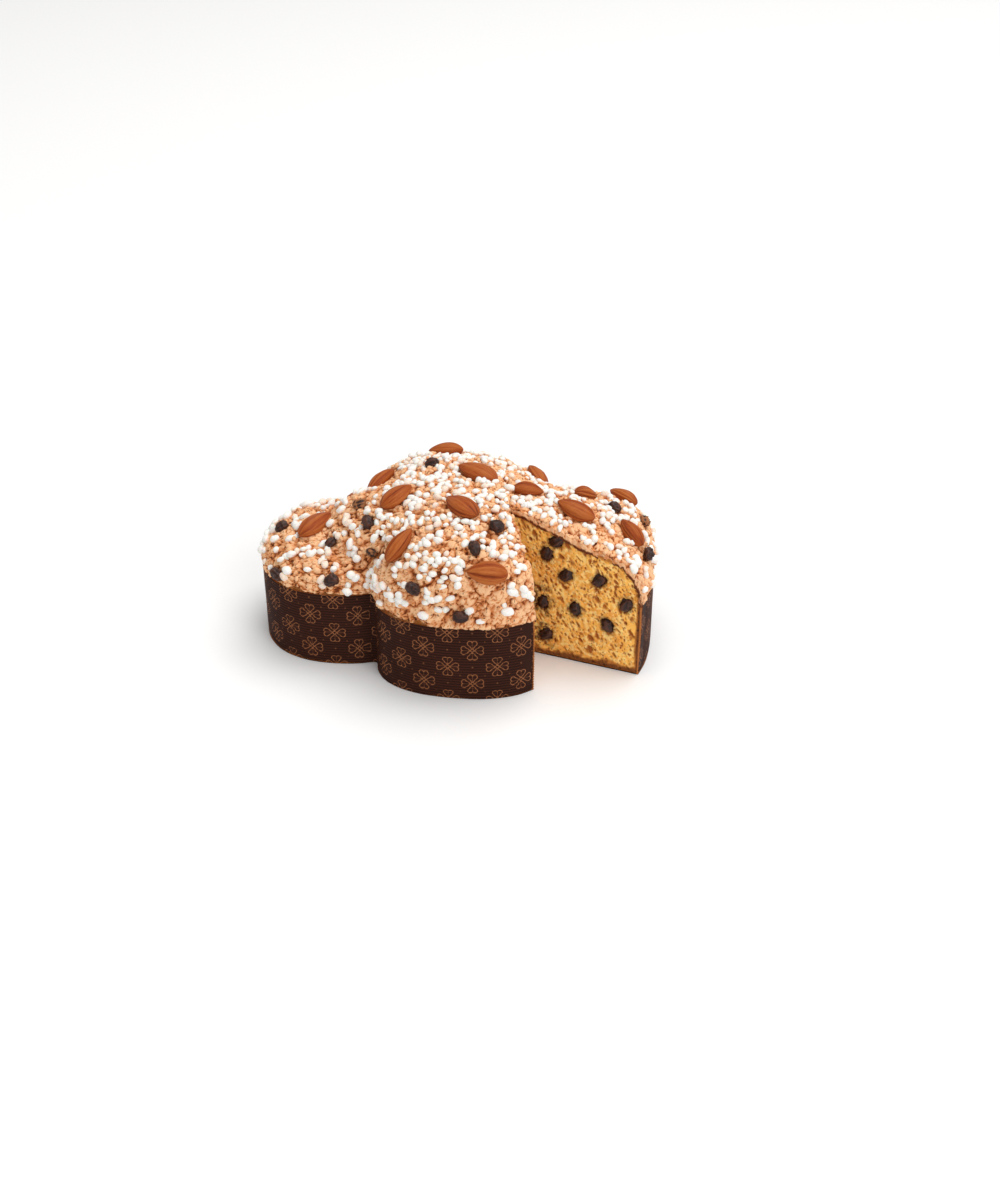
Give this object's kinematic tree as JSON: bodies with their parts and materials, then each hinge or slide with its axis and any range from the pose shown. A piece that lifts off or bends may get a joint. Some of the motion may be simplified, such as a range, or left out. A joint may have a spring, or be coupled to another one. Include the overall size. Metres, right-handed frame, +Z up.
{
  "type": "colomba cake",
  "caption": "Dove-shaped Easter cake in a printed brown paper case, with a cracked almond glaze, whole almonds, raisins and pearl sugar, and one slice cut out.",
  "frame": {"origin": "on the table under the middle of the cake's outline", "axes": "+X from the dove's head to its tail, +Y to the back wing, +Z up"},
  "size_m": [0.2646, 0.1712, 0.1181],
  "materials": {
    "baking_paper": "dark brown ribbed baking paper with a copper flower print",
    "crumb": "soft yellow open crumb with a brown base crust",
    "glaze": "dry cracked almond glaze with white pearl sugar",
    "almond": "ribbed red-brown almond skin, satin",
    "raisin": "wrinkled dark raisin skin, slightly shiny"
  },
  "bodies": {
    "root": {"paper_case": "baking_paper", "crumb": "crumb", "glaze": "glaze", "almond_01": "almond", "almond_02": "almond", "almond_03": "almond", "almond_04": "almond", "almond_05": "almond", "almond_06": "almond", "almond_07": "almond", "almond_08": "almond", "almond_09": "almond", "almond_10": "almond", "almond_11": "almond", "almond_12": "almond", "almond_13": "almond", "almond_14": "almond", "almond_15": "almond", "almond_16": "almond", "almond_17": "almond", "almond_18": "almond", "almond_19": "almond", "almond_20": "almond", "raisin_01": "raisin", "raisin_02": "raisin", "raisin_03": "raisin", "raisin_04": "raisin", "raisin_05": "raisin", "raisin_06": "raisin", "raisin_07": "raisin", "raisin_08": "raisin", "raisin_09": "raisin", "raisin_10": "raisin", "raisin_11": "raisin", "raisin_12": "raisin", "raisin_13": "raisin", "raisin_14": "raisin", "raisin_15": "raisin", "raisin_16": "raisin", "raisin_17": "raisin", "raisin_18": "raisin", "raisin_19": "raisin", "raisin_20": "raisin", "cut_raisin_01": "raisin", "cut_raisin_02": "raisin", "cut_raisin_03": "raisin", "cut_raisin_04": "raisin", "cut_raisin_05": "raisin", "cut_raisin_06": "raisin", "cut_raisin_07": "raisin", "cut_raisin_08": "raisin", "cut_raisin_09": "raisin", "cut_raisin_10": "raisin", "cut_raisin_11": "raisin", "cut_raisin_12": "raisin", "cut_raisin_13": "raisin", "cut_raisin_14": "raisin", "cut_raisin_15": "raisin"}
  },
  "joints": []
}
